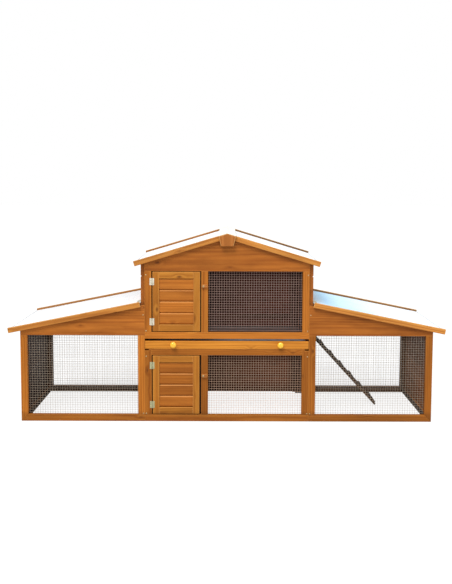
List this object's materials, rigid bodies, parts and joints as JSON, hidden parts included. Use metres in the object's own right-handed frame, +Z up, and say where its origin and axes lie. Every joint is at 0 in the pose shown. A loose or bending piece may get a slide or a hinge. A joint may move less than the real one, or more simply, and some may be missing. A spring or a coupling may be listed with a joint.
{
  "type": "two-tier guinea pig hutch",
  "caption": "Wooden two-tier small-animal hutch with a gabled house, boarded doors, mesh windows, a pull-out tray, a ramp and mesh runs under lift-up roofs.",
  "frame": {"origin": "on the ground under the middle of the whole hutch", "axes": "+Z up, the front with the doors faces -Y, +X to the right seen from the front, along the hutch"},
  "size_m": [2.1086, 0.524, 0.9228],
  "materials": {
    "stained_wood": "honey-brown stain, satin",
    "wall_boards": "honey-brown stain, satin",
    "ramp_wood": "dark stain, matte",
    "white_roofing": "white roofing sheet, matte",
    "wire_mesh": "galvanised wire",
    "tray_metal": "galvanised sheet",
    "hinge_metal": "bright zinc plate",
    "yellow_knob": "yellow lacquer, glossy",
    "screw_metal": "yellow zinc plate",
    "button_wood": "varnished hardwood"
  },
  "bodies": {
    "house": {"lower_front_rails": "stained_wood", "lower_front_posts": "stained_wood", "lower_window_mesh": "wire_mesh", "upper_front_rail": "stained_wood", "upper_front_posts": "stained_wood", "upper_window_mesh": "wire_mesh", "front_gable_board": "stained_wood", "back_gable_board": "stained_wood", "left_side_wall": "wall_boards", "right_side_wall": "wall_boards", "corner_posts": "stained_wood", "back_frame": "stained_wood", "back_boards": "wall_boards", "tray_runners": "stained_wood", "turn_button_screws": "screw_metal", "main_roof_decks": "stained_wood", "main_roof_felts": "white_roofing", "main_barge_boards": "stained_wood", "ridge_battens": "stained_wood", "ridge_cap": "white_roofing", "keystone_plates": "stained_wood", "left_run_sole_rails": "stained_wood", "left_run_posts": "stained_wood", "left_run_gable_boards": "stained_wood", "left_run_front_mesh": "wire_mesh", "left_run_back_mesh": "wire_mesh", "left_end_boards": "wall_boards", "left_end_rails": "stained_wood", "right_run_sole_rails": "stained_wood", "right_run_posts": "stained_wood", "right_run_gable_boards": "stained_wood", "right_run_front_mesh": "wire_mesh", "right_run_back_mesh": "wire_mesh", "right_end_boards": "wall_boards", "right_end_rails": "stained_wood", "hinge_frame_leaves": "hinge_metal", "hinge_pins": "hinge_metal", "frame_screws": "screw_metal"},
    "upper_door": {"upper_door_frame": "stained_wood", "upper_door_boards": "stained_wood", "upper_door_hinge_leaves": "hinge_metal"},
    "lower_door": {"lower_door_frame": "stained_wood", "lower_door_boards": "stained_wood", "lower_door_hinge_leaves": "hinge_metal"},
    "upper_button": {"upper_turn_button": "button_wood"},
    "lower_button": {"lower_turn_button": "button_wood"},
    "tray": {"tray_front_board": "stained_wood", "tray_pan": "tray_metal", "tray_knobs": "yellow_knob"},
    "left_lid": {"left_lid_deck": "stained_wood", "left_lid_felt": "white_roofing", "left_lid_barges": "stained_wood", "left_lid_hinge_leaves": "hinge_metal"},
    "right_lid": {"right_lid_deck": "stained_wood", "right_lid_felt": "white_roofing", "right_lid_barges": "stained_wood", "right_lid_hinge_leaves": "hinge_metal"},
    "ramp": {"ramp_board": "ramp_wood", "ramp_cleats": "ramp_wood", "ramp_hinge_leaves": "hinge_metal"}
  },
  "joints": [
    {"name": "upper_door_hinge", "type": "hinge", "parent": "house", "child": "upper_door", "pos_m": [-0.36125, -0.2379, 0.588], "axis": [0, 0, -1], "range_deg": [0, 150]},
    {"name": "lower_door_hinge", "type": "hinge", "parent": "house", "child": "lower_door", "pos_m": [-0.36125, -0.2379, 0.18], "axis": [0, 0, -1], "range_deg": [0, 150]},
    {"name": "upper_button_turn", "type": "hinge", "parent": "house", "child": "upper_button", "pos_m": [-0.1135, -0.235, 0.664], "axis": [0, 1, 0], "range_deg": [0, 180]},
    {"name": "lower_button_turn", "type": "hinge", "parent": "house", "child": "lower_button", "pos_m": [-0.1135, -0.235, 0.227], "axis": [0, 1, 0], "range_deg": [0, 180]},
    {"name": "tray_slide", "type": "slide", "parent": "house", "child": "tray", "axis": [0, -1, 0], "range_m": [0, 0.4]},
    {"name": "left_lid_hinge", "type": "hinge", "parent": "house", "child": "left_lid", "pos_m": [-0.4199, 0, 0.5803], "axis": [0, 1, 0], "range_deg": [0, 75]},
    {"name": "right_lid_hinge", "type": "hinge", "parent": "house", "child": "right_lid", "pos_m": [0.4199, 0, 0.5803], "axis": [0, -1, 0], "range_deg": [0, 75]},
    {"name": "ramp_hinge", "type": "hinge", "parent": "house", "child": "ramp", "pos_m": [0.425, 0.086, 0.4009], "axis": [0, -1, 0], "range_deg": [0, 40]}
  ]
}
